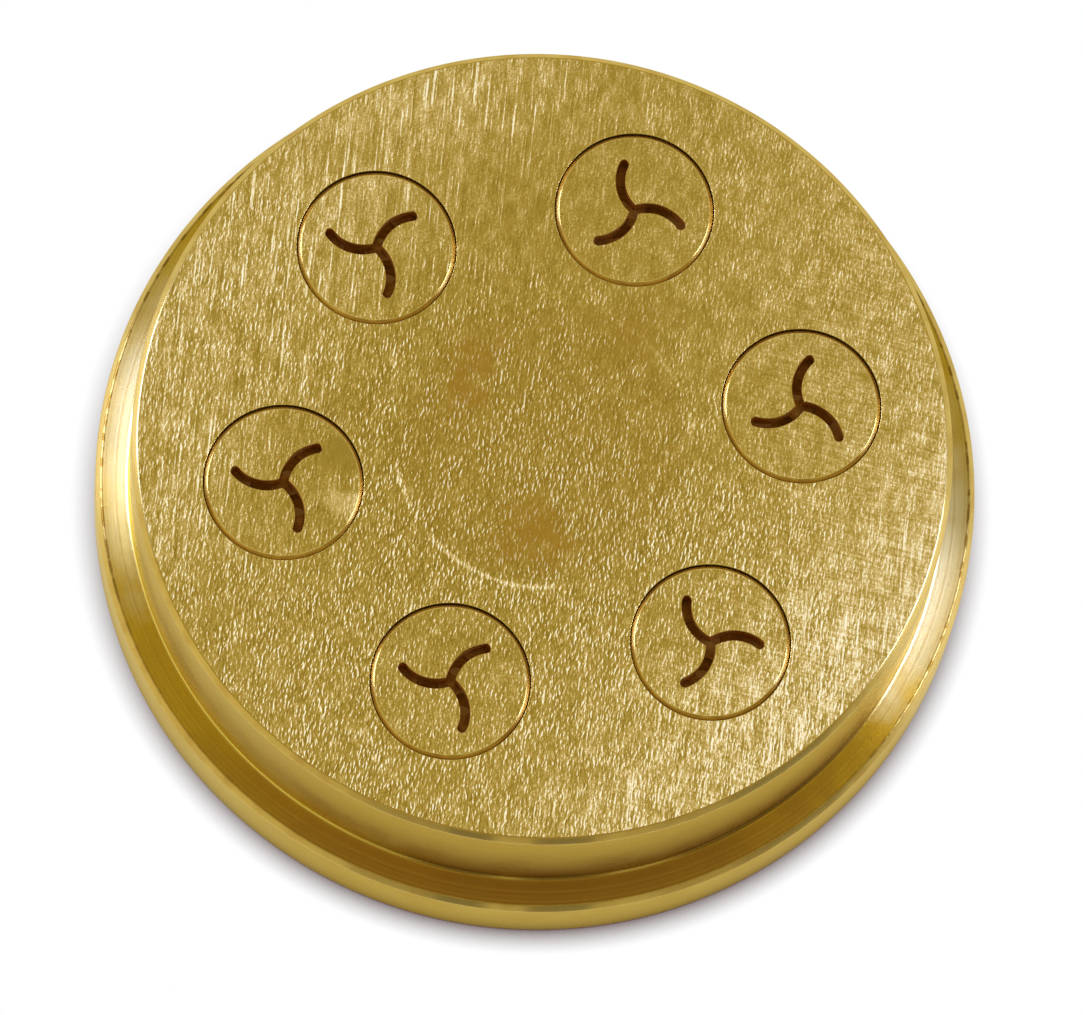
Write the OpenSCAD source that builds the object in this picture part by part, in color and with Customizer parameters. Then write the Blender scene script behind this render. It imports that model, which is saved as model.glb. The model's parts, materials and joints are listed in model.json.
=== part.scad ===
// Pasta extrusion die: a turned bronze disc with a clamping flange, carrying six shaping inserts.
// Dough is pressed in from the flat back, fills the wells and leaves through the curved slots.
// Millimetres. +Z points out of the outlet face, the origin is the centre of the back face.

/* [Body] */
// Diameter of the body above the flange
body_d = 72; // [66:0.5:76]
// Diameter of the clamping flange
flange_d = 78; // [74:0.5:90]
// Height of the whole die, back face to outlet face
die_h = 20; // [16:0.5:30]
// Height of the flange
flange_h = 7.5; // [3:0.5:15]
// Bevel on the turned outer edges
edge_bevel = 0.5; // [0.2:0.1:0.9]
// Fillet where the wall meets the flange's ledge
ledge_fillet = 0.4; // [0.1:0.1:1]

/* [Pockets] */
// Diameter of the circle that the inserts stand on
pitch_d = 46; // [40:0.5:52]
// Gap all round between an insert and its pocket
fit_gap = 0.1; // [0.05:0.01:0.2]
// Bevel at the mouth of each well, on the back face
mouth_bevel = 1; // [0.2:0.1:1.5]

/* [Inserts] */
// Diameter of an insert's front end
insert_d = 13.9; // [12:0.1:15.4]
// Height of an insert, from its back to the outlet face
insert_h = 12; // [9:0.5:17]
// Diameter of the head that seats on the pocket's shoulder
head_d = 16; // [15:0.1:18]
// Height of that head
head_h = 4; // [2:0.5:8]
// Bevel round an insert's front end
front_bevel = 0.3; // [0.1:0.05:0.6]
// Bevel round the back of the head
head_bevel = 0.4; // [0.1:0.05:0.8]

/* [Slots] */
// Width of a slot arm
slot_w = 0.85; // [0.6:0.05:1.2]
// Depth of a slot arm below the outlet face
slot_depth = 1.6; // [1.4:0.1:3]
// Radius that each arm is curved to
arm_r = 3.6; // [3:0.1:6]
// Distance from the insert's centre to the middle of an arm's round end
tip_r = 4.3; // [3.6:0.1:5]

/* [Feed] */
// Diameter of the feed chamber in the back of an insert
chamber_d = 9; // [7:0.5:11]
// Depth of that chamber
chamber_h = 6; // [3:0.5:8]
// Diameter of the feed hole drilled to each arm
feed_d = 2; // [1:0.1:2.6]
// Distance of the feed holes from the insert's centre
feed_r = 2; // [1.6:0.1:2.6]
// How far a feed hole's full diameter runs past the slot's floor
feed_past = 0.3; // [0.1:0.05:0.5]

/* [Turn of each insert] */
// Insert on the +X axis: angle of one arm's end
insert_1_turn = 70.5; // [0:0.5:119.5]
// Insert at 60 degrees
insert_2_turn = 92.5; // [0:0.5:119.5]
// Insert at 120 degrees
insert_3_turn = 33.5; // [0:0.5:119.5]
// Insert at 180 degrees
insert_4_turn = 37.5; // [0:0.5:119.5]
// Insert at 240 degrees
insert_5_turn = 34.5; // [0:0.5:119.5]
// Insert at 300 degrees
insert_6_turn = 109; // [0:0.5:119.5]

/* [Hidden] */
$fn = 96;
bronze = "#c2a04c";
insert_bronze = "#cdab55";
inserts = 6;
arms = 3;
// Cutting shapes run this far past the faces that they open
cut = 1;

body_r = body_d / 2;
flange_r = flange_d / 2;
pitch_r = pitch_d / 2;
insert_r = insert_d / 2;
head_r = head_d / 2;
chamber_r = chamber_d / 2;
bore_r = insert_r + fit_gap;
well_r = head_r + fit_gap;

// Heights above the back face: an insert's back, and the shoulder that its head seats on
insert_z = die_h - insert_h;
seat_z = insert_z + head_h;

// An arm is an arc through the insert's centre. Half the angle it spans, and its floor's height
arm_half_span = asin(tip_r / (2 * arm_r));
slot_floor = insert_h - slot_depth;

// A feed hole meets the arm's centreline this far round from the arm's end, and has a drill's point
feed_turn = arm_half_span - asin(feed_r / (2 * arm_r));
drill_point_angle = 118;
drill_point_h = feed_d / 2 / tan(drill_point_angle / 2);

// Angle about the die's axis of the insert with this number, counted from 1
function insert_angle(number) = (number - 1) * 360 / inserts;

// Outline that the whole body is turned to, with bevelled edges and a filleted ledge
module body_outline() {
    polygon([
        [0, 0],
        [flange_r - edge_bevel, 0],
        [flange_r, edge_bevel],
        [flange_r, flange_h - edge_bevel],
        [flange_r - edge_bevel, flange_h],
        [body_r, flange_h],
        [body_r, die_h - edge_bevel],
        [body_r - edge_bevel, die_h],
        [0, die_h]
    ]);
    translate([body_r, flange_h])
        difference() {
            translate([-ledge_fillet, -ledge_fillet]) square(2 * ledge_fillet);
            translate([ledge_fillet, ledge_fillet]) circle(ledge_fillet);
        }
}

// Stepped pocket for one insert: a bevelled well from the back, a shoulder and the front bore
module pocket() {
    rotate_extrude()
        polygon([
            [0, -cut],
            [well_r + mouth_bevel + cut, -cut],
            [well_r, mouth_bevel],
            [well_r, seat_z],
            [bore_r, seat_z],
            [bore_r, die_h + cut],
            [0, die_h + cut]
        ]);
}

// The flanged disc, turned from one bar and bored for its inserts
module die_body() {
    color(bronze)
        difference() {
            rotate_extrude() body_outline();
            for (number = [1:inserts])
                rotate(insert_angle(number))
                    translate([pitch_r, 0, 0])
                        pocket();
        }
}

// Turned blank of an insert: head, front end and the feed chamber in its back
module insert_blank() {
    rotate_extrude()
        polygon([
            [0, chamber_h],
            [chamber_r, chamber_h],
            [chamber_r, 0],
            [head_r - head_bevel, 0],
            [head_r, head_bevel],
            [head_r, head_h],
            [insert_r, head_h],
            [insert_r, insert_h - front_bevel],
            [insert_r - front_bevel, insert_h],
            [0, insert_h]
        ]);
}

// One curved arm of the slot, ending on +X and bending clockwise towards that end
module slot_arm() {
    arc_side = 90 - arm_half_span;
    translate([arm_r * cos(arc_side), -arm_r * sin(arc_side), slot_floor])
        rotate(arc_side)
            rotate_extrude(angle = 2 * arm_half_span)
                translate([arm_r - slot_w / 2, 0])
                    square([slot_w, slot_depth + cut]);
    translate([tip_r, 0, slot_floor])
        cylinder(d = slot_w, h = slot_depth + cut);
}

// Feed hole drilled from the chamber into one arm
module feed_hole() {
    straight_h = slot_floor + feed_past - chamber_h;
    rotate(feed_turn)
        translate([feed_r, 0, chamber_h]) {
            translate([0, 0, -cut]) cylinder(d = feed_d, h = straight_h + cut);
            translate([0, 0, straight_h]) cylinder(d1 = feed_d, d2 = 0, h = drill_point_h);
        }
}

// One shaping insert, seated in its pocket and turned about its own axis
module die_insert(number, turn) {
    color(insert_bronze)
        rotate(insert_angle(number))
            translate([pitch_r, 0, insert_z])
                rotate(turn - insert_angle(number))
                    difference() {
                        insert_blank();
                        translate([0, 0, slot_floor]) cylinder(d = slot_w, h = slot_depth + cut);
                        for (arm = [0:arms - 1])
                            rotate(arm * 360 / arms) {
                                slot_arm();
                                feed_hole();
                            }
                    }
}

die_body();
die_insert(1, insert_1_turn);  // insert_1
die_insert(2, insert_2_turn);  // insert_2
die_insert(3, insert_3_turn);  // insert_3
die_insert(4, insert_4_turn);  // insert_4
die_insert(5, insert_5_turn);  // insert_5
die_insert(6, insert_6_turn);  // insert_6
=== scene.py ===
# Pasta extrusion die: the finish of each surface, a pale floor, soft studio light and a camera.
import json
import math

import bmesh
import bpy
from mathutils import Matrix, Vector


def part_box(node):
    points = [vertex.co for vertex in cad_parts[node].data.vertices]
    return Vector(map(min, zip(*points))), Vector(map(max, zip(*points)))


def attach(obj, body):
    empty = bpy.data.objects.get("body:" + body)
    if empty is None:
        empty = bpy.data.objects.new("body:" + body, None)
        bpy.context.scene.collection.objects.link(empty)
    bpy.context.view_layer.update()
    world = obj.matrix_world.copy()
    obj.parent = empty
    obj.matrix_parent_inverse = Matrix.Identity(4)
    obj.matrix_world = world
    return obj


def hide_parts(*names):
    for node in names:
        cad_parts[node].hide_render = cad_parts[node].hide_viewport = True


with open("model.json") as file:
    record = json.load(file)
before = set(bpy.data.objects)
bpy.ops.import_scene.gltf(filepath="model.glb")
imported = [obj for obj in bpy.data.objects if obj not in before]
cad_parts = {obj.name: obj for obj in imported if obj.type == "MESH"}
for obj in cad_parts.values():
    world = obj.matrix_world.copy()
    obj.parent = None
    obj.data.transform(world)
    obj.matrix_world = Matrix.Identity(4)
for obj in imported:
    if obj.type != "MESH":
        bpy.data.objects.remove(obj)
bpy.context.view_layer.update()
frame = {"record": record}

# Die body
# A disc turned from one bar of yellow bronze, with a clamping flange at its back and six stepped pockets
# bored through it. The wall, ledge and rim are fine-turned. The outlet face was ground flat with the
# inserts in place, so the grain runs on across them, and long use has stained it brown in the middle.
MM = 0.001
mounts = {mount["name"]: mount for mount in frame["record"]["mounts"]}
flange_r = mounts["flange_rim"]["dims"]["r_mm"] * MM
body_r = mounts["body_spigot"]["dims"]["r_mm"] * MM
ledge_z = mounts["clamp_ledge"]["pos_m"][2]
outlet_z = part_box("die_body")[1].z
edge_bevel = 0.5 * MM
edge_ease = 0.08 * MM
ledge_fillet = 0.4 * MM
body_segments = 480

pitch_r = 23 * MM
bore_r = 7.05 * MM
bore_ease = 0.03 * MM
well_r = 8.1 * MM
seat_z = 12 * MM
mouth_bevel = 1 * MM
pocket_segments = 144


def way(angle):
    """The unit vector at this angle, in degrees, about the die's axis."""
    return math.cos(math.radians(angle)), math.sin(math.radians(angle)), 0


insert_nodes = [f"insert_{number}" for number in range(1, 7)]
insert_angles = [360 / len(insert_nodes) * place for place in range(len(insert_nodes))]
insert_centres = [Vector(way(angle)) * pitch_r for angle in insert_angles]


def fill_ramp(elements, stops):
    """Sets the stops of a colour ramp, each a position and a colour."""
    while len(elements) < len(stops):
        elements.new(1.0)
    for element, (position, colour) in zip(elements, stops):
        element.position = position
        element.color = colour


class Wire:
    """One outlet in a tree of nodes, or only the tree, to start from.
    Arithmetic on it adds Math or Vector Math nodes."""

    def __init__(self, tree, socket=None):
        self.tree = tree
        self.socket = socket

    def node(self, kind, settings=None, inlets=None, outlet=0):
        """Adds a node of this kind, sets it up, fills its inlets and gives one of its outlets."""
        made = self.tree.nodes.new("ShaderNode" + kind)
        for name, value in (settings or {}).items():
            if name == "stops":
                fill_ramp(made.color_ramp.elements, value)
            else:
                setattr(made, name, value)
        for name, value in (inlets or {}).items():
            if isinstance(value, Wire):
                self.tree.links.new(value.socket, made.inputs[name])
            else:
                made.inputs[name].default_value = value
        return Wire(self.tree, made.outputs[outlet]) if made.outputs else None

    def math(self, operation, *values):
        """A Math node on plain values, or a Vector Math node where this wire is a vector."""
        kind = "Math"
        if self.socket.type == "VECTOR":
            kind = "VectorMath"
            values = [(value,) * 3 if isinstance(value, (int, float)) else value for value in values]
        return self.node(kind, {"operation": operation}, dict(enumerate(values)))

    def __add__(self, other):
        return self.math("ADD", self, other)

    def __radd__(self, other):
        return self.math("ADD", other, self)

    def __sub__(self, other):
        return self.math("SUBTRACT", self, other)

    def __rsub__(self, other):
        return self.math("SUBTRACT", other, self)

    def __mul__(self, other):
        return self.math("MULTIPLY", self, other)

    def __rmul__(self, other):
        return self.math("MULTIPLY", other, self)

    def most(self, other):
        """The greater of two values."""
        return self.math("MAXIMUM", self, other)

    def size(self):
        """This value without its sign."""
        return self.math("ABSOLUTE", self)

    def flat(self):
        """This vector without its height."""
        return self * (1, 1, 0)

    def unit(self):
        """This vector at length 1."""
        return self.math("NORMALIZE", self)

    def length(self):
        """How long this vector is."""
        return self.node("VectorMath", {"operation": "LENGTH"}, {0: self}, "Value")

    def along(self, direction):
        """How far this vector reaches along a direction."""
        return self.node("VectorMath", {"operation": "DOT_PRODUCT"}, {0: self, 1: direction}, "Value")

    def height(self):
        """How far this vector reaches upwards."""
        return self.along((0, 0, 1))

    def step(self, low, high):
        """0 below low and 1 above high, with a smooth rise between."""
        settings = {"interpolation_type": "SMOOTHSTEP"}
        return self.node("MapRange", settings, {"Value": self, "From Min": low, "From Max": high})

    def zone(self, direction, begins, full):
        """0 to 1 over the stretch, along a direction, from where a zone begins to where it is full."""
        return self.along(direction).step(begins, full)

    def noise(self, scale, detail=2.0, roughness=0.5):
        """Smooth noise about 0.5 over this vector, or along this value."""
        single = self.socket.type != "VECTOR"
        settings = {"noise_dimensions": "1D" if single else "3D"}
        inlet = "W" if single else "Vector"
        inlets = {inlet: self, "Scale": scale, "Detail": detail, "Roughness": roughness}
        return self.node("TexNoise", settings, inlets)

    def uneven(self, scale, detail=2.0, roughness=0.5):
        """Smooth noise about 0."""
        return self.noise(scale, detail, roughness) - 0.5

    def blend(self, low, high):
        """The colour low where this value is 0, high where it is 1."""
        return self.node("Mix", {"data_type": "RGBA"}, {"Factor": self, 6: low, 7: high}, 2)

    def bump(self, depth):
        """A normal tilted by this value as a height."""
        return self.node("Bump", None, {"Height": self, "Strength": 1.0, "Distance": depth})


def point(x, y, z):
    """A vector wire from three values, at least the first of them a wire."""
    return x.node("CombineXYZ", None, {0: x, 1: y, 2: z})


# At a grazing angle the bronze keeps some of its own colour
grazing_tint = (0.87, 0.77, 0.44, 1)
# A quarter turn, so that light spreads across the tool's marks and not along them
across_marks = 0.25


def metal(colour, roughness, normal, spread=0.0):
    """A bronze surface from the wires of its colour, roughness and normal."""
    surface = colour.node("BsdfPrincipled", None, {
        "Base Color": colour,
        "Metallic": 1.0,
        "Roughness": roughness,
        "Normal": normal,
        "Specular Tint": grazing_tint,
        "Anisotropic": spread,
        "Anisotropic Rotation": across_marks,
    })
    colour.node("OutputMaterial", None, {"Surface": surface})


def place_in(name):
    """A new material, with the place on the die in millimetres as its first wire."""
    material = bpy.data.materials.new(name)
    material.use_nodes = True
    material.node_tree.nodes.clear()
    return material, Wire(material.node_tree).node("TexCoord", outlet="Object") * (1 / MM)


# Zones of the ground face: a way over it, and where along that way the zone begins and where it is full.
# All lengths in the finishes are in millimetres, as the place wire is.
scratched_way = (-0.72, 0.69, 0)
rubbed_way = (0.43, -0.90, 0)
lit_side_way = (0.87, -0.49, 0)
scratched_zone = (scratched_way, 2.0, 26.0)
burnished_zone = (scratched_way, 14.0, 26.0)
rubbed_zone = (rubbed_way, 14.0, 30.0)
scored_zone = (rubbed_way, 16.0, 33.0)
crossed_zone = (lit_side_way, 4.0, 26.0)
smooth_zone = ((0.76, 0.65, 0), -2.0, 18.0)
painted_light_zone = ((0.58, -0.815, 0), 18.0, 32.0)
painted_shade_zone = ((-0.98, -0.18, 0), 4.0, 20.0)
# How far the dashes fade in some zones, and how far others shine more or less than the rest. The burnished
# zone is polish; the lighter and the darker of the others are painted light and painted shade.
calm_zones = [(smooth_zone, 0.55), (scratched_zone, 0.4), (rubbed_zone, 0.3)]
polish_and_light_zones = [(burnished_zone, 0.062), (painted_light_zone, 0.06), (painted_shade_zone, -0.014)]

# Ways that the grinding marks run, in degrees, and how many there are in a millimetre across and along them
dash_grain = {"turn": 72, "across": 4.1, "along": 1.4}
mottle_grain = {"turn": 72, "across": 0.8, "along": 0.4, "detail": 2.0, "shift": 3.0}
streak_grain = {"turn": 75, "across": 5.2, "along": 0.11, "detail": 2.0, "shift": 7.0, "sway": 0.15}
start_grain = {"turn": 75, "across": 1.0, "along": 0.25, "shift": 11.0}
cross_grain = {"turn": -25, "across": 4.0, "along": 0.3, "shift": 5.0, "sway": 0.3}
relief_shift = 0.098
grain_roughness = 0.7
least_dashes = 0.3
scratch_share = 0.46
cross_share = 0.5
mottle_share = 0.32


def grinding_marks(place, dash_share):
    """Short dashes, longer scratches towards two edges and a hatch across them, with a faint mottle.
    Gives the dashes too, which stand up from the face."""
    flat = place.flat()
    wander = place.noise(scale=0.12, detail=1.0) * 0.5

    def grain(turn, across, along, detail=1.0, shift=0.0, sway=1.0):
        """Noise drawn out along one way over the face."""
        sideways = flat.along(way(turn - 90)) + wander * sway + shift
        onward = flat.along(way(turn))
        return point(sideways * across, onward * along, 0.0).uneven(1.0, detail, grain_roughness)

    dashes = grain(**dash_grain)
    # The dashes are painted as glints; the relief paints light on one flank of each dash and shade on the
    # other
    relief_light_and_shade = dashes - grain(**dash_grain, shift=relief_shift)
    glint_ticks = relief_light_and_shade.step(0.05, 0.25)
    busy = place.noise(scale=0.5, detail=2.0).step(0.3, 0.7) * 0.7 + 0.65
    calm = 1
    for zone, share in calm_zones:
        calm = calm - flat.zone(*zone) * share
    painted_glints = (dashes * 0.5 + relief_light_and_shade * 0.5 + glint_ticks * 0.2) * busy * calm.most(least_dashes)

    streaks = grain(**streak_grain)
    starts = grain(**start_grain).step(-0.15, 0.1)
    scored = flat.zone(*scratched_zone) + flat.zone(*scored_zone) + 0.2
    scratches = (streaks + streaks.step(0.03, 0.24) * 0.35 - 0.06) * starts * scored
    scratches = scratches + grain(**cross_grain) * flat.zone(*crossed_zone) * cross_share
    return dashes, painted_glints * dash_share + scratches * scratch_share + grain(**mottle_grain) * mottle_share


# Brown stains in the middle: distance from the axis, angle in degrees, size and strength of each
brown_spots = [
    (8.1, -102.5, 4.6, 0.85),
    (9.2, 115.4, 4.0, 0.65),
    (7.9, 142.0, 3.8, 0.6),
    (14.1, 42.9, 4.4, 0.45),
]
worn_stain = 0.2


def brown_stains(place, worn, cloud, grit):
    """How far the face is stained: a little wherever it is worn, and more in ragged spots."""
    ragged = cloud * 5.0 + place.uneven(scale=0.7, detail=3.0) * 8.0
    stain = worn * worn_stain
    for reach, angle, size, strength in brown_spots:
        centre = tuple(Vector(way(angle)) * reach)
        spot = (place.flat() - centre).length() + ragged
        stain = (1 - spot.step(0.0, size)) * strength + stain
    return stain * (grit * 2.2 + 0.9)


# A ring rubbed bright in the middle of the face: the middle and half width of each arc in degrees,
# and its strength
ring_r = 13.0
ring_arcs = [(-171.0, 8.0, 1.0), (-122.0, 28.0, 1.0), (22.0, 30.0, 0.4)]
arc_fade = 3.0
ring_shine = 0.25


def arc_mask(flat, arcs):
    """Marks arcs about the axis, faded at their ends."""
    heading = flat.unit()
    mask = 0.0
    for middle, half, strength in arcs:
        end = math.cos(math.radians(half + arc_fade))
        full = math.cos(math.radians(half - arc_fade))
        mask = heading.zone(way(middle), end, full) * strength + mask
    return mask


# The fourth insert's face keeps some of its lathe finish, and the way it catches the light is painted on it
# as a fan of painted highlight and a fan of painted shade
faced_insert = 3
fan_inner = (2.0, 5.5)
fan_outer = (6.7, 6.9)
fan_angle = -29
shade_angle = 18
fan_half = 15
shade_half = 22.5
fan_shine = 0.14
shade_dip = 0.04
fan_cover = 0.6


def painted_fan_light_and_shade(flat):
    """The painted highlight fan and the painted shade fan on that insert's face."""
    outward = flat - tuple(insert_centres[faced_insert] / MM)
    reach = outward.length()
    faced = reach.step(*fan_inner) * (1 - reach.step(*fan_outer))
    heading = outward.unit()
    fan_highlight = heading.zone(way(fan_angle), math.cos(math.radians(fan_half)), 1.0) * faced
    shade = heading.zone(way(shade_angle), math.cos(math.radians(shade_half)), 1.0) * faced
    return fan_highlight, shade


# The ground face's colour by its shine: brown in the marks' hollows, up to a painted near-white glint on
# their crests
ground_tones = [
    (0.26, (0.23, 0.146, 0.014, 1)),
    (0.47, (0.38, 0.259, 0.045, 1)),
    (0.57, (0.56, 0.405, 0.135, 1)),
    (0.66, (0.88, 0.73, 0.43, 1)),
    (0.76, (1.0, 0.95, 0.80, 1)),
]
plain_shine = 0.436
edge_shine = 0.045
painted_side_light = 0.0016
cloud_shine = 0.04
worn_dip = 0.014
stain_brown = (0.32, 0.18, 0.021, 1)


def ground_bronze(name, dash_share, grit_share):
    """The outlet face: ground along one way, polished towards its edge, rubbed and stained in the middle."""
    material, place = place_in(name)
    flat = place.flat()
    radius = flat.length()
    cloud = place.uneven(scale=0.16, detail=3.0)
    grit = place.uneven(scale=5.0, detail=3.0, roughness=0.8)
    worn = 1 - (radius + cloud * 2.0).step(ring_r - 1.5, ring_r + 0.5)
    off_ring = (radius - ring_r + cloud * 0.5).size()
    ring = arc_mask(flat, ring_arcs) * (1 - off_ring.step(0.05, 0.35)) * (grit + 0.6)
    fan_highlight, shade = painted_fan_light_and_shade(flat)
    # Besides its polish towards the edge, the face is painted lighter towards its lit side and in one zone,
    # and darker in another: painted light and shade
    polish_and_light = radius.step(10.0, 33.0) * edge_shine + flat.along(lit_side_way).most(0.0) * painted_side_light
    polish_and_light = polish_and_light + cloud * cloud_shine - worn * worn_dip
    for zone, shine in polish_and_light_zones:
        polish_and_light = polish_and_light + flat.zone(*zone) * shine
    dashes, marks = grinding_marks(place, dash_share)
    marks = (marks + grit * grit_share) * (1 - (fan_highlight + shade) * fan_cover)
    shine = marks + polish_and_light + ring * ring_shine + fan_highlight * fan_shine - shade * shade_dip + plain_shine
    tone = shine.node("ValToRGB", {"stops": ground_tones}, {"Fac": shine})
    colour = brown_stains(place, worn, cloud, grit).blend(tone, stain_brown)
    metal(colour, roughness=grit * 0.1 + 0.32, normal=dashes.bump(depth=0.01 * MM))
    return material


def tool_marks(place, pitch):
    """A height that changes only along the cut: outwards on a faced surface, upwards on a turned one."""
    return (place.flat().length() + place.height()).noise(scale=1 / pitch, detail=2.0)


# Colours of the turned wall and rim, and where they change. The front is the side at -Y and a little -X.
wall_r = body_r / MM
ledge_h = ledge_z / MM
clean_bronze = (0.58, 0.41, 0.10, 1)
painted_highlight_bronze = (0.66, 0.52, 0.20, 1)
stained_bronze = (0.38, 0.22, 0.03, 1)
painted_foot_highlight = (0.95, 0.76, 0.15, 1)
painted_cove_reflection = (0.24, 0.135, 0.02, 1)
front_way = (-0.335, -0.942, 0)
highlight_band_reach = 5.0
left_highlight_zone = ((-0.942, 0.335, 0), 8.0, 26.0)
foot_highlight_zone = ((-0.92, -0.39, 0), 23.0, 34.0)
# Arcs of painted dark reflection in the cove: the middle and half width of each in degrees, and its strength
dark_reflection_arcs = [(-111.6, 5.0, 0.8), (-95.6, 5.0, 0.8), (-61.6, 18.0, 1.0)]


def turned_bronze():
    """The polished wall and rim: the faintest of tool marks run round the axis.
    The wall is painted paler at its sides and at its foot on the left, as painted highlights, and the cove
    below it is browned in places by painted dark reflections."""
    material, place = place_in("turned_bronze")
    flat = place.flat()
    radius = flat.length()
    patina = place.noise(scale=0.2, detail=3.0).step(0.3, 0.7)
    # Painted highlight: the wall is paler in a band at each side and towards the left
    highlight_band = 1 - (place.along(front_way) - highlight_band_reach).size().step(6.0, 12.0)
    side_highlight = highlight_band.most(place.zone(*left_highlight_zone) * 0.6)
    colour = (patina * 0.2).blend(side_highlight.blend(clean_bronze, painted_highlight_bronze), stained_bronze)
    # Painted highlight: the wall's foot is paler at the left
    foot = 1 - place.height().step(ledge_h + 0.1, ledge_h + 5.5)
    on_wall = 1 - radius.step(wall_r + 0.05, wall_r + 0.25)
    colour = (foot * on_wall * place.zone(*foot_highlight_zone)).blend(colour, painted_foot_highlight)
    # Painted reflection: dark arcs in the cove stand for dark things in front mirrored there
    cove = radius.step(wall_r + 0.02, wall_r + 0.15) * (1 - radius.step(wall_r + 0.5, wall_r + 1.0))
    colour = (cove * arc_mask(flat, dark_reflection_arcs)).blend(colour, painted_cove_reflection)
    marks = tool_marks(place, pitch=0.3)
    metal(colour, roughness=patina * 0.05 + 0.26, normal=marks.bump(depth=0.003 * MM), spread=0.8)
    return material


edge_patch_r = flange_r / MM - 0.55
edge_patch_brown = (0.20, 0.11, 0.012, 1)


def dark_edge_patches(place):
    """Dark patches along the outer edge of the ledge, fewer in front."""
    near = 1 - (place.flat().length() - edge_patch_r).size().step(0.06, 0.2)
    patches = place.noise(scale=0.9, detail=3.0).step(0.46, 0.58) * 0.6 + 0.4
    aside = 1 - place.zone(front_way, 10.0, 26.0) * 0.75
    return near * patches * aside * place.height().step(ledge_h - 0.7, ledge_h - 0.4)


# Colours of the faced ledge and back. The ledge's colours are painted light and shade: a pale painted
# highlight at its sides near the wall, and painted gold and brown shade in front, with gold behind too.
back_bronze = (0.54, 0.44, 0.20, 1)
ledge_highlight_pale = (0.60, 0.53, 0.31, 1)
ledge_dull = (0.45, 0.36, 0.15, 1)
ledge_shade_gold = (0.44, 0.29, 0.022, 1)
ledge_shade_brown = (0.31, 0.168, 0.026, 1)
ring_brown = (0.38, 0.23, 0.03, 1)
ledge_shade_way = (-0.20, -0.98, 0)


def faced_bronze():
    """The flange's ledge and the back: rings left by the facing tool spread the light outwards.
    The ledge is painted pale at its sides as a highlight, gold and brown in front as painted shade, and
    duller towards its edge."""
    material, place = place_in("faced_bronze")
    patina = place.noise(scale=0.25, detail=3.0).step(0.3, 0.7)
    rings = tool_marks(place, pitch=0.35)
    on_ledge = place.height().step(2.0, 6.0)
    reach = place.along(front_way)
    gold_shade = (reach + patina * 6.0).step(11.0, 22.0) + (patina * 4.0 - reach).step(3.0, 20.0)
    brown_shade = (place.along(ledge_shade_way) + patina * 4.0).step(22.0, 38.0)
    inner = 1 - place.flat().length().step(wall_r + 0.6, wall_r + 2.4)
    colour = on_ledge.blend(back_bronze, inner.blend(ledge_dull, ledge_highlight_pale))
    colour = (gold_shade * on_ledge).blend(colour, ledge_shade_gold)
    colour = (brown_shade * on_ledge).blend(colour, ledge_shade_brown)
    colour = (rings.step(0.5, 0.65) * 0.3 + patina * 0.15).blend(colour, ring_brown)
    colour = dark_edge_patches(place).blend(colour, edge_patch_brown)
    metal(colour, roughness=patina * 0.04 + 0.24, normal=rings.bump(depth=0.012 * MM), spread=1.0)
    return material


cut_light = (0.64, 0.47, 0.14, 1)
cut_dark = (0.56, 0.38, 0.10, 1)


def cut_bronze():
    """The narrow bevels, the bores and the inserts' own sides: bare metal, as the tool left it."""
    material, place = place_in("cut_bronze")
    patina = place.noise(scale=0.5, detail=2.0).step(0.35, 0.75)
    colour = dark_edge_patches(place).blend(patina.blend(cut_light, cut_dark), edge_patch_brown)
    marks = tool_marks(place, pitch=0.1)
    metal(colour, roughness=patina * 0.03 + 0.2, normal=marks.bump(depth=0.0003 * MM), spread=1.0)
    return material


bored_light = (0.74, 0.57, 0.28, 1)
bored_dark = (0.60, 0.43, 0.18, 1)


def bored_bronze():
    """The wells and holes that dough runs through: pale, and dulled by a thin film here and there."""
    material, place = place_in("bored_bronze")
    film = place.noise(scale=0.8, detail=3.0).step(0.3, 0.7)
    colour = film.blend(bored_light, bored_dark)
    pits = place.noise(scale=3.0, detail=2.0)
    metal(colour, roughness=film * 0.2 + 0.25, normal=pits.bump(depth=0.01 * MM))
    return material


body_finishes = [
    ground_bronze("ground_bronze", dash_share=0.88, grit_share=0.45),
    turned_bronze(),
    faced_bronze(),
    bored_bronze(),
    cut_bronze(),
]
GROUND, TURNED, FACED, BORED, CUT = range(len(body_finishes))


def eased(corners, steps=4):
    """A profile through corners of (radius, height, ease), each rounded off over its ease.
    The first and last corners only give the way that the profile starts and ends."""
    profile = []
    for before, here, after in zip(corners, corners[1:], corners[2:]):
        corner = Vector(here[:2])
        ease = here[2]
        start = corner + (Vector(before[:2]) - corner).normalized() * ease
        end = corner + (Vector(after[:2]) - corner).normalized() * ease
        for share in [step / steps for step in range(steps + 1)] if ease else [0]:
            profile.append(start * (1 - share) ** 2 + corner * 2 * share * (1 - share) + end * share ** 2)
    return profile


def skin(bm, loops, finish):
    """Joins loops of as many vertices, each to the next, with faces of one finish."""
    for first, second in zip(loops, loops[1:]):
        for corners in zip(first, first[1:] + first[:1], second[1:] + second[:1], second):
            bm.faces.new(corners).material_index = finish


def spin(bm, profile, segments, finish, centre=(0, 0)):
    """Spins a profile of (radius, height) points about an upright axis; gives its loops of vertices."""
    angles = [2 * math.pi * step / segments for step in range(segments)]
    loops = []
    for radius, height in profile:
        loops.append([bm.verts.new((centre[0] + radius * math.cos(angle),
                                    centre[1] + radius * math.sin(angle), height)) for angle in angles])
    skin(bm, loops, finish)
    return loops


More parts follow.
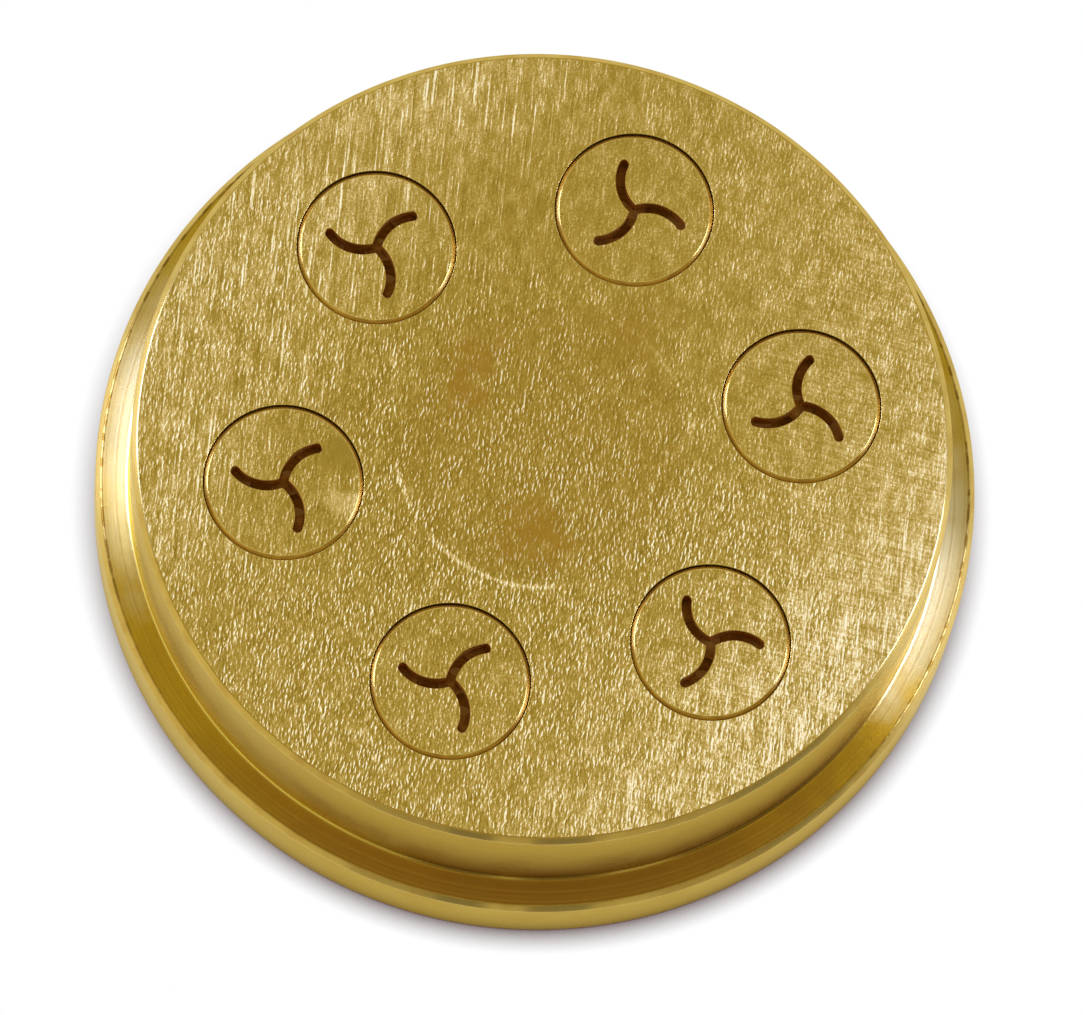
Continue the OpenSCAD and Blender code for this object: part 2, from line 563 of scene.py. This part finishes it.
def cap(bm, loops, finish):
    """Fills the flat face that these loops bound."""
    edges = [bm.edges.get(pair) for loop in loops for pair in zip(loop, loop[1:] + loop[:1])]
    filled = bmesh.ops.triangle_fill(bm, use_beauty=True, edges=edges)["geom"]
    for face in filled:
        if isinstance(face, bmesh.types.BMFace):
            face.material_index = finish


def mesh_of(name, bm, finishes):
    """Closes a mesh in the making: its normals point outwards, and it gets its finishes."""
    bmesh.ops.recalc_face_normals(bm, faces=bm.faces)
    mesh = bpy.data.meshes.new(name)
    bm.to_mesh(mesh)
    bm.free()
    for finish in finishes:
        mesh.materials.append(finish)
    return mesh


crisp_angle = math.radians(40)


def show(name, mesh, node):
    """Puts a finished mesh in the scene in place of its solid, smooth but for its crisp edges."""
    mesh.polygons.foreach_set("use_smooth", [True] * len(mesh.polygons))
    mesh.set_sharp_from_angle(angle=crisp_angle)
    piece = bpy.data.objects.new(name, mesh)
    bpy.context.scene.collection.objects.link(piece)
    weighting = piece.modifiers.new("even_faces", "WEIGHTED_NORMAL")
    weighting.keep_sharp = True
    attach(piece, "root")
    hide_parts(node)


bm = bmesh.new()
body_loops = spin(bm, eased([
    (flange_r - 2 * edge_bevel, 0, 0),
    (flange_r - edge_bevel, 0, edge_ease),
    (flange_r, edge_bevel, edge_ease),
    (flange_r, ledge_z - edge_bevel, edge_ease),
    (flange_r - edge_bevel, ledge_z, edge_ease),
    (body_r, ledge_z, ledge_fillet),
    (body_r, outlet_z - edge_bevel, edge_ease),
    (body_r - edge_bevel, outlet_z, edge_ease),
    (body_r - 2 * edge_bevel, outlet_z, 0),
]), body_segments, TURNED)

# Level faces are faced and bevels are cut, but the cove between wall and ledge is turned with the wall
level = 0.95
sloping = 0.3
bm.normal_update()
for face in bm.faces:
    upright = abs(face.normal.z)
    in_cove = body_r < face.calc_center_median().xy.length < body_r + ledge_fillet
    if upright > level:
        face.material_index = FACED
    elif upright > sloping and not in_cove:
        face.material_index = CUT
pocket_profile = eased([
    (bore_r + mouth_bevel, outlet_z, 0),
    (bore_r, outlet_z, bore_ease),
    (bore_r, seat_z, 0),
    (well_r, seat_z, 0),
    (well_r, mouth_bevel, edge_ease),
    (well_r + mouth_bevel, 0, edge_ease),
    (well_r + 2 * mouth_bevel, 0, 0),
])
pocket_loops = [spin(bm, pocket_profile, pocket_segments, BORED, centre) for centre in insert_centres]
for face in bm.faces:
    if face.material_index == BORED and face.calc_center_median().z > seat_z:
        face.material_index = CUT
cap(bm, [body_loops[-1]] + [loops[0] for loops in pocket_loops], GROUND)
cap(bm, [body_loops[0]] + [loops[-1] for loops in pocket_loops], FACED)
show("bronze_body", mesh_of("bronze_body", bm, body_finishes), "die_body")

# Inserts
# Six shaping inserts turned from the same bronze, dropped in from the back until their heads seat on the
# pocket's shoulder. Three curved slots are milled in each front, and three feed holes are drilled to them
# from a chamber in the back. Dough has tarnished the slots dark brown.
insert_r = 6.95 * MM
head_r = 8 * MM
insert_z = 8 * MM
front_bevel = 0.3 * MM
head_bevel = 0.4 * MM
insert_ease = 0.04 * MM
chamber_r = 4.5 * MM
chamber_z = 14 * MM
slot_w = 0.85 * MM
slot_floor = 18.4 * MM
slot_break = 0.05 * MM
arm_r = 3.6 * MM
tip_r = 4.3 * MM
arms = 3
arm_steps = 20
tip_steps = 10
feed_drill_r = 1 * MM
feed_r = 2 * MM
feed_top = 18.7 * MM
drill_point = math.radians(118)
drill_blunt = 0.01
drill_segments = 48
insert_turns = [math.radians(angle) for angle in (70.5, 92.5, 33.5, 37.5, 34.5, 109)]
arm_half_span = math.asin(tip_r / (2 * arm_r))
feed_turn = arm_half_span - math.asin(feed_r / (2 * arm_r))

# The slots' walls are painted lighter and their floor darker than the tarnish alone: painted light and shade
slot_light = (0.65, 0.30, 0.055, 1)
slot_dark = (0.50, 0.22, 0.035, 1)
slot_floor_shade = (0.17, 0.076, 0.013, 1)


def tarnished_bronze():
    """The inside of the slots: brown walls under a patchy film, painted lighter against their shade, and a
    floor painted darker against the light it gets.
    """
    material, place = place_in("tarnished_bronze")
    film = place.noise(scale=1.2, detail=2.0).step(0.35, 0.6)
    on_floor = 1 - place.height().step(slot_floor / MM, slot_floor / MM + 0.1)
    colour = on_floor.blend(film.blend(slot_light, slot_dark), slot_floor_shade)
    pits = place.noise(scale=4.0, detail=2.0)
    metal(colour, roughness=film * 0.15 + 0.5, normal=pits.bump(depth=0.01 * MM))
    return material


def slot_outline(width):
    """The pinwheel that three arms of this width make, counter-clockwise, as (x, y) points."""
    half = width / 2
    side = math.pi / 2 - arm_half_span
    hub = Vector((arm_r * math.cos(side), -arm_r * math.sin(side)))
    next_hub = Matrix.Rotation(2 * math.pi / arms, 2) @ hub
    last_hub = Matrix.Rotation(-2 * math.pi / arms, 2) @ hub

    def meeting(hub_a, radius_a, hub_b, radius_b):
        """Where two circles cross, the crossing nearer the middle."""
        apart = hub_b - hub_a
        reach = (apart.length_squared + radius_a ** 2 - radius_b ** 2) / (2 * apart.length)
        aside = math.sqrt(radius_a ** 2 - reach ** 2) * Vector((-apart.y, apart.x)).normalized()
        foot = hub_a + apart.normalized() * reach
        return min(foot + aside, foot - aside, key=lambda crossing: crossing.length)

    def arc(middle, radius, start, end, steps):
        """Points round a middle, from one angle up to just short of another."""
        angles = [start + (end - start) * step / steps for step in range(steps)]
        return [middle + radius * Vector((math.cos(angle), math.sin(angle))) for angle in angles]

    def bearing(spot):
        """The angle of a spot seen from the arm's hub."""
        return math.atan2(spot.y - hub.y, spot.x - hub.x)

    inner, outer = arm_r - half, arm_r + half
    begins = bearing(meeting(hub, inner, last_hub, outer))
    ends = bearing(meeting(hub, outer, next_hub, inner))
    arm = arc(hub, inner, begins, side, arm_steps)
    arm += arc(Vector((tip_r, 0)), half, side - math.pi, side, tip_steps)
    arm += arc(hub, outer, side, ends, arm_steps)
    return [Matrix.Rotation(2 * math.pi * number / arms, 2) @ spot for number in range(arms) for spot in arm]


insert_finishes = [
    ground_bronze("ground_insert", dash_share=0.62, grit_share=0.55),
    *body_finishes[1:],
    tarnished_bronze(),
]
TARNISHED = len(body_finishes)
bm = bmesh.new()
blank_loops = spin(bm, eased([
    (0, chamber_z, 0),
    (chamber_r, chamber_z, 0),
    (chamber_r, insert_z, insert_ease),
    (head_r - head_bevel, insert_z, insert_ease),
    (head_r, insert_z + head_bevel, insert_ease),
    (head_r, seat_z, 0),
    (insert_r, seat_z, 0),
    (insert_r, outlet_z - front_bevel, insert_ease),
    (insert_r - front_bevel, outlet_z, insert_ease),
    (0, outlet_z, 0),
]), pocket_segments, CUT)
slot_loops = [[bm.verts.new((spot.x, spot.y, height)) for spot in slot_outline(width)] for width, height in (
    (slot_w + 2 * slot_break, outlet_z),
    (slot_w, outlet_z - slot_break),
    (slot_w, slot_floor),
)]
skin(bm, slot_loops[:2], CUT)
skin(bm, slot_loops[1:], TARNISHED)
cap(bm, [blank_loops[-1], slot_loops[0]], GROUND)
cap(bm, [slot_loops[-1]], TARNISHED)
cap(bm, [blank_loops[0]], BORED)
blank = bpy.data.objects.new("blank", mesh_of("blank", bm, insert_finishes))

# The feed holes are drilled into the blank, each with the drill's blunt point
bm = bmesh.new()
point_h = feed_drill_r / math.tan(drill_point / 2)
drill_profile = [
    (feed_drill_r, insert_z),
    (feed_drill_r, feed_top),
    (feed_drill_r * drill_blunt, feed_top + point_h * (1 - drill_blunt)),
]
for number in range(arms):
    angle = feed_turn + 2 * math.pi * number / arms
    middle = (feed_r * math.cos(angle), feed_r * math.sin(angle))
    loops = spin(bm, drill_profile, drill_segments, BORED, middle)
    cap(bm, [loops[0]], BORED)
    cap(bm, [loops[-1]], BORED)
drills = bpy.data.objects.new("drills", mesh_of("drills", bm, insert_finishes))
for tool in (blank, drills):
    bpy.context.scene.collection.objects.link(tool)
drilling = blank.modifiers.new("drilling", "BOOLEAN")
drilling.object = drills
drilling.operation = "DIFFERENCE"
drilling.solver = "EXACT"
insert_mesh = bpy.data.meshes.new_from_object(blank.evaluated_get(bpy.context.evaluated_depsgraph_get()))
for tool in (blank, drills):
    bpy.data.objects.remove(tool)

for node, centre, turned in zip(insert_nodes, insert_centres, insert_turns):
    mesh = insert_mesh.copy()
    mesh.transform(Matrix.Translation(centre) @ Matrix.Rotation(turned, 4, "Z"))
    show("bronze_" + node, mesh, node)

# Floor
# A plain pale table top, a hair under the die so that the two don't lie in one plane. It is dull, looks
# white from above and in the bronze, and keeps the soft shadow close around the die's foot.
floor_half = 2.0
floor_z = -0.03 * MM
floor_corners = [(-floor_half, -floor_half), (floor_half, -floor_half),
                 (floor_half, floor_half), (-floor_half, floor_half)]
floor_grey = (0.8, 0.8, 0.8, 1)
white = (1, 1, 1, 1)
shadow_tone = (0.065, 0.005, 0.0, 1)
# Under the die the floor shows a dim brown glow: painted light standing in for light bounced about inside
# the die
under_die_glow = (0.100, 0.041, 0.007, 1)
shadow_reach = 2.3 * MM
shadow_depth = 0.97
shadow_samples = 8
camera_turn = math.radians(19.58)


def seen_way(right, away, up):
    """A direction in the die's frame, given as the camera sees it."""
    return Matrix.Rotation(-camera_turn, 3, "Z") @ Vector((right, away, up))


shadow_way = seen_way(0.2, -0.6, 0)


def white_floor():
    """White to the camera and in reflections, apart from the shadow; pale and dull to any other light."""
    material, place = place_in("white_floor")
    seen = place.node("LightPath", outlet="Is Camera Ray")
    for ray in ("Is Glossy Ray", "Is Transmission Ray"):
        seen = seen.most(place.node("LightPath", outlet=ray))
    clear = place.flat().length().step(flange_r / MM - 0.5, flange_r / MM)
    settings = {"samples": shadow_samples}
    open_sky = place.node("AmbientOcclusion", settings, {"Distance": shadow_reach}, "AO")
    depth = place.unit().along(shadow_way) + shadow_depth
    unshaded = (1 - (1 - open_sky) * depth).most(0.0)
    tone = clear.blend(under_die_glow, unshaded.blend(shadow_tone, white))
    shown = place.node("Emission", None, {"Color": tone, "Strength": 1.0})
    dull = place.node("BsdfDiffuse", None, {"Color": floor_grey})
    both = place.node("MixShader", None, {0: seen, 1: dull, 2: shown})
    place.node("OutputMaterial", None, {"Surface": both})
    return material


floor_mesh = bpy.data.meshes.new("floor")
floor_mesh.from_pydata([(x, y, floor_z) for x, y in floor_corners], [], [(0, 1, 2, 3)])
floor_mesh.materials.append(white_floor())
floor = bpy.data.objects.new("floor", floor_mesh)
bpy.context.scene.collection.objects.link(floor)

# Light
# A large soft light overhead, a little behind the die, and a softbox on either side. The room around is
# dim, brighter behind the die, with dark upright cards low in front that show as bars in the bevels.
warm = (1, 0.97, 0.8)
warmer = (1, 0.9, 0.5)
cool = (1, 1.12, 1.9)


def softbox(name, direction, distance, width, height, radiance, colour):
    """A rectangular lamp of this radiance, aimed at the die from a direction that the camera sees it in."""
    lamp = bpy.data.lights.new(name, "AREA")
    lamp.shape = "RECTANGLE"
    lamp.size = width
    lamp.size_y = height
    lamp.energy = math.pi * width * height * radiance
    lamp.color = colour
    box = bpy.data.objects.new(name, lamp)
    outward = seen_way(*direction).normalized()
    facing = outward.to_track_quat("Z", "Y").to_matrix().to_4x4()
    box.matrix_world = Matrix.Translation(outward * distance) @ facing
    box.visible_camera = False
    bpy.context.scene.collection.objects.link(box)


softbox("overhead", (-0.05, 0.08, 0.98), distance=0.9, width=0.8, height=0.85, radiance=0.55, colour=warm)
softbox("left_side", (-0.72, 0.21, 0.64), distance=0.8, width=0.28, height=0.25, radiance=16.0, colour=cool)
softbox("right_side", (0.72, 0.12, 0.66), distance=0.8, width=0.28, height=0.20, radiance=16.0, colour=cool)

# Cards: the middle and half width of each, as shares of the way from straight ahead to the right,
# and its strength
cards = [
    (-0.20, 0.14, 0.4),
    (0.0, 0.08, 0.9),
    (0.28, 0.10, 0.85),
    (0.62, 0.12, 0.28),
    (0.82, 0.11, 0.75),
]
card_edge = 0.8
behind_level = 0.9
overhead_dip = 0.45
front_level = 0.58
left_lift = 0.4
upper_front_level = 0.5
least_level = 0.02

world = bpy.data.worlds.new("room")
world.use_nodes = True
world.node_tree.nodes.clear()
sky = Wire(world.node_tree).node("TexCoord", outlet="Generated")
to_camera = sky.node("LightPath", outlet="Is Camera Ray")
aside = sky.along(seen_way(1, 0, 0))
behind = sky.zone(seen_way(0, 1, 0), -0.2, 0.35)
low = 1 - sky.height().step(0.3, 0.5)
overhead = sky.height().step(0.65, 0.85)
left = 1 - aside.step(-1.0, 0.0)
darkened = 0.0
for middle, half, strength in cards:
    darkened = (1 - (aside - middle).size().step(half * card_edge, half)) * strength + darkened
low_front = (1 - darkened) * (left * left_lift + front_level)
in_front = low * low_front + (1 - low) * upper_front_level + least_level
room_level = behind * (behind_level - overhead * overhead_dip) + (1 - behind) * in_front
room_colour = to_camera.blend(behind.blend((*warmer, 1), (*warm, 1)), white)
room = sky.node("Background", None, {"Color": room_colour, "Strength": room_level.most(to_camera)})
sky.node("OutputWorld", None, {"Surface": room})
bpy.context.scene.world = world
bpy.context.scene.view_settings.view_transform = "Standard"

# Camera
# A long lens about a metre away, looking steeply down on the outlet face and rolled a little. It aims a
# little to the side of the middle of the back face, as the picture is framed.
elevation = math.radians(74.184)
roll = math.radians(10.489)
camera_distance = 0.99995
aim_right = 0.8625 * MM
aim_up = -0.1957 * MM
sensor_width = 36
focal_length = 372.68
lens = bpy.data.cameras.new("camera")
lens.sensor_width = sensor_width
lens.lens = focal_length
camera = bpy.data.objects.new("camera", lens)
turned_to = (Matrix.Rotation(-camera_turn, 3, "Z") @ Matrix.Rotation(math.pi / 2 - elevation, 3, "X")
             @ Matrix.Rotation(roll, 3, "Z"))
right, up, back = turned_to.col
aim = right * aim_right + up * aim_up
camera.matrix_world = Matrix.Translation(aim + back * camera_distance) @ turned_to.to_4x4()
bpy.context.scene.collection.objects.link(camera)
bpy.context.scene.camera = camera
